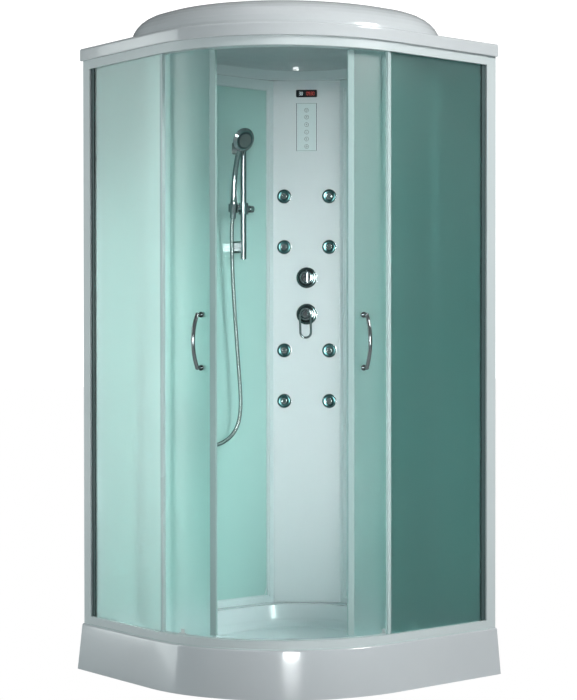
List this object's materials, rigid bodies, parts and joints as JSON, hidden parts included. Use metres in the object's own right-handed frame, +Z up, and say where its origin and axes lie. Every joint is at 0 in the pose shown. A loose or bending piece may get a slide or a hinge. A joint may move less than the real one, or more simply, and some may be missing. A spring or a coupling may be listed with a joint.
{
  "type": "shower cabin",
  "caption": "Quadrant shower cabin with low tray, curved sliding glass doors, domed roof, glazed back walls and a corner column with body jets, mixer and hand shower.",
  "frame": {"origin": "on the floor, at the centre of the bounding box's plan, under the tray", "axes": "+Z up; the left back wall is the plane x = -0.5 m, the right back wall is the plane y = +0.5 m, and the curved door front faces +X and -Y"},
  "size_m": [1, 1, 2.181],
  "materials": {
    "acrylic": "glossy cool white",
    "zinc_steel": "galvanised",
    "rubber_feet": "matt",
    "chrome_trim": "polished",
    "white_trap": "matt",
    "frame_white": "white-grey powder coat, satin",
    "frosted_glass": "aqua, lightly textured",
    "dark_gasket": "matt",
    "handle_chrome": "polished",
    "white_seal": "satin",
    "white_plastic": "glossy",
    "roller_nylon": "satin",
    "back_glass": "aqua, back-painted",
    "column_abs": "glossy cool white",
    "keypad": "satin film",
    "display": "glossy black",
    "grey_body": "matt",
    "nozzle_rubber": "dark teal, satin",
    "brass_valve": "raw",
    "blue_pipe": "matt",
    "chrome_plastic": "polished",
    "spray_plate": "satin",
    "hose_metal": "ribbed, polished",
    "lamp_lens": "opal"
  },
  "bodies": {
    "cabin": {"tray": "acrylic", "tray_frame": "zinc_steel", "tray_feet": "rubber_feet", "drain_cover": "chrome_trim", "waste_trap": "white_trap", "lower_rail": "frame_white", "upper_rail": "frame_white", "left_post": "frame_white", "right_post": "frame_white", "left_fixed_glass": "frosted_glass", "right_fixed_glass": "frosted_glass", "fixed_glass_gaskets": "dark_gasket", "pane_edge_channels": "white_seal", "left_wall_frame": "frame_white", "right_wall_frame": "frame_white", "left_wall_glass": "back_glass", "right_wall_glass": "back_glass", "column_panel": "column_abs", "control_panel": "keypad", "display_window": "display", "jet_bezels": "chrome_trim", "jet_bodies": "grey_body", "valve_roses": "chrome_trim", "valve_body": "brass_valve", "supply_pipes": "blue_pipe", "outlet_elbow": "chrome_trim", "shower_rail": "chrome_trim", "hose": "hose_metal", "roof_shell": "acrylic", "rain_head": "chrome_trim", "fan_housing": "white_plastic", "ceiling_light": "lamp_lens"},
    "left_door": {"left_door_glass": "frosted_glass", "left_door_handle": "handle_chrome", "left_door_seals": "white_seal", "left_door_carriages": "white_plastic"},
    "right_door": {"right_door_glass": "frosted_glass", "right_door_handle": "handle_chrome", "right_door_seals": "white_seal", "right_door_carriages": "white_plastic"},
    "left_lead_wheel": {"left_lead_roller": "roller_nylon"},
    "left_trail_wheel": {"left_trail_roller": "roller_nylon"},
    "right_lead_wheel": {"right_lead_roller": "roller_nylon"},
    "right_trail_wheel": {"right_trail_roller": "roller_nylon"},
    "diverter": {"diverter_knob": "chrome_trim"},
    "mixer_turn": {"mixer_dome": "chrome_trim"},
    "lever": {"mixer_lever": "chrome_trim"},
    "rail_slider": {"slider": "chrome_plastic"},
    "holder": {"hand_shower_holder": "chrome_plastic", "hand_shower": "chrome_plastic", "spray_face": "spray_plate"},
    "rotor": {"fan_rotor": "grey_body"},
    "nozzle_1": {"jet_nozzle_1": "nozzle_rubber"},
    "nozzle_2": {"jet_nozzle_2": "nozzle_rubber"},
    "nozzle_3": {"jet_nozzle_3": "nozzle_rubber"},
    "nozzle_4": {"jet_nozzle_4": "nozzle_rubber"},
    "nozzle_5": {"jet_nozzle_5": "nozzle_rubber"},
    "nozzle_6": {"jet_nozzle_6": "nozzle_rubber"},
    "nozzle_7": {"jet_nozzle_7": "nozzle_rubber"},
    "nozzle_8": {"jet_nozzle_8": "nozzle_rubber"}
  },
  "joints": [
    {"name": "left_door_slide", "type": "hinge", "parent": "cabin", "child": "left_door", "pos_m": [-0.06, 0.06, 1], "axis": [0, 0, -1], "range_deg": [-20, 9]},
    {"name": "right_door_slide", "type": "hinge", "parent": "cabin", "child": "right_door", "pos_m": [-0.06, 0.06, 1], "axis": [0, 0, 1], "range_deg": [-28, 1]},
    {"name": "left_lead_roll", "type": "hinge", "parent": "left_door", "child": "left_lead_wheel", "pos_m": [0.09484, -0.40278, 2.0173], "axis": [0.3173, -0.9483, 0], "continuous": true},
    {"name": "left_trail_roll", "type": "hinge", "parent": "left_door", "child": "left_trail_wheel", "pos_m": [-0.09829, -0.4265, 2.0173], "axis": [-0.0785, -0.9969, 0], "continuous": true},
    {"name": "right_lead_roll", "type": "hinge", "parent": "right_door", "child": "right_lead_wheel", "pos_m": [0.41983, -0.02893, 2.0173], "axis": [0.9833, -0.1822, 0], "continuous": true},
    {"name": "right_trail_roll", "type": "hinge", "parent": "right_door", "child": "right_trail_wheel", "pos_m": [0.41643, 0.16562, 2.0173], "axis": [0.9763, 0.2164, 0], "continuous": true},
    {"name": "diverter_spin", "type": "hinge", "parent": "cabin", "child": "diverter", "pos_m": [-0.37543, 0.37543, 1.325], "axis": [0.7071, -0.7071, 0], "range_deg": [-120, 120]},
    {"name": "mixer_swing", "type": "hinge", "parent": "cabin", "child": "mixer_turn", "pos_m": [-0.37401, 0.37401, 1.193], "axis": [0.7071, -0.7071, 0], "range_deg": [-45, 45]},
    {"name": "lever_lift", "type": "hinge", "parent": "mixer_turn", "child": "lever", "pos_m": [-0.36341, 0.36341, 1.193], "axis": [-0.7071, -0.7071, 0], "range_deg": [0, 25]},
    {"name": "slider_slide", "type": "slide", "parent": "cabin", "child": "rail_slider", "axis": [0, 0, 1], "range_m": [-0.08, 0.15], "deforming": ["hose"]},
    {"name": "holder_tilt", "type": "hinge", "parent": "rail_slider", "child": "holder", "pos_m": [-0.4285, 0.084, 1.565], "axis": [0, 1, 0], "range_deg": [-10, 30]},
    {"name": "rotor_spin", "type": "hinge", "parent": "cabin", "child": "rotor", "pos_m": [0.04, -0.04, 2.13], "axis": [0, 0, 1], "continuous": true},
    {"name": "nozzle_1_tilt", "type": "hinge", "parent": "cabin", "child": "nozzle_1", "pos_m": [-0.44048, 0.32452, 0.879], "axis": [0.7071, 0.7071, 0], "range_deg": [-15, 15]},
    {"name": "nozzle_2_tilt", "type": "hinge", "parent": "cabin", "child": "nozzle_2", "pos_m": [-0.32452, 0.44048, 0.879], "axis": [0.7071, 0.7071, 0], "range_deg": [-15, 15]},
    {"name": "nozzle_3_tilt", "type": "hinge", "parent": "cabin", "child": "nozzle_3", "pos_m": [-0.44048, 0.32452, 1.062], "axis": [0.7071, 0.7071, 0], "range_deg": [-15, 15]},
    {"name": "nozzle_4_tilt", "type": "hinge", "parent": "cabin", "child": "nozzle_4", "pos_m": [-0.32452, 0.44048, 1.062], "axis": [0.7071, 0.7071, 0], "range_deg": [-15, 15]},
    {"name": "nozzle_5_tilt", "type": "hinge", "parent": "cabin", "child": "nozzle_5", "pos_m": [-0.44048, 0.32452, 1.436], "axis": [0.7071, 0.7071, 0], "range_deg": [-15, 15]},
    {"name": "nozzle_6_tilt", "type": "hinge", "parent": "cabin", "child": "nozzle_6", "pos_m": [-0.32452, 0.44048, 1.436], "axis": [0.7071, 0.7071, 0], "range_deg": [-15, 15]},
    {"name": "nozzle_7_tilt", "type": "hinge", "parent": "cabin", "child": "nozzle_7", "pos_m": [-0.44048, 0.32452, 1.619], "axis": [0.7071, 0.7071, 0], "range_deg": [-15, 15]},
    {"name": "nozzle_8_tilt", "type": "hinge", "parent": "cabin", "child": "nozzle_8", "pos_m": [-0.32452, 0.44048, 1.619], "axis": [0.7071, 0.7071, 0], "range_deg": [-15, 15]}
  ],
  "couplings": [
    {"joint": "left_lead_roll", "follows": "left_door_slide", "ratio": 44.364},
    {"joint": "left_trail_roll", "follows": "left_door_slide", "ratio": 44.364},
    {"joint": "right_lead_roll", "follows": "right_door_slide", "ratio": -44.364},
    {"joint": "right_trail_roll", "follows": "right_door_slide", "ratio": -44.364}
  ]
}
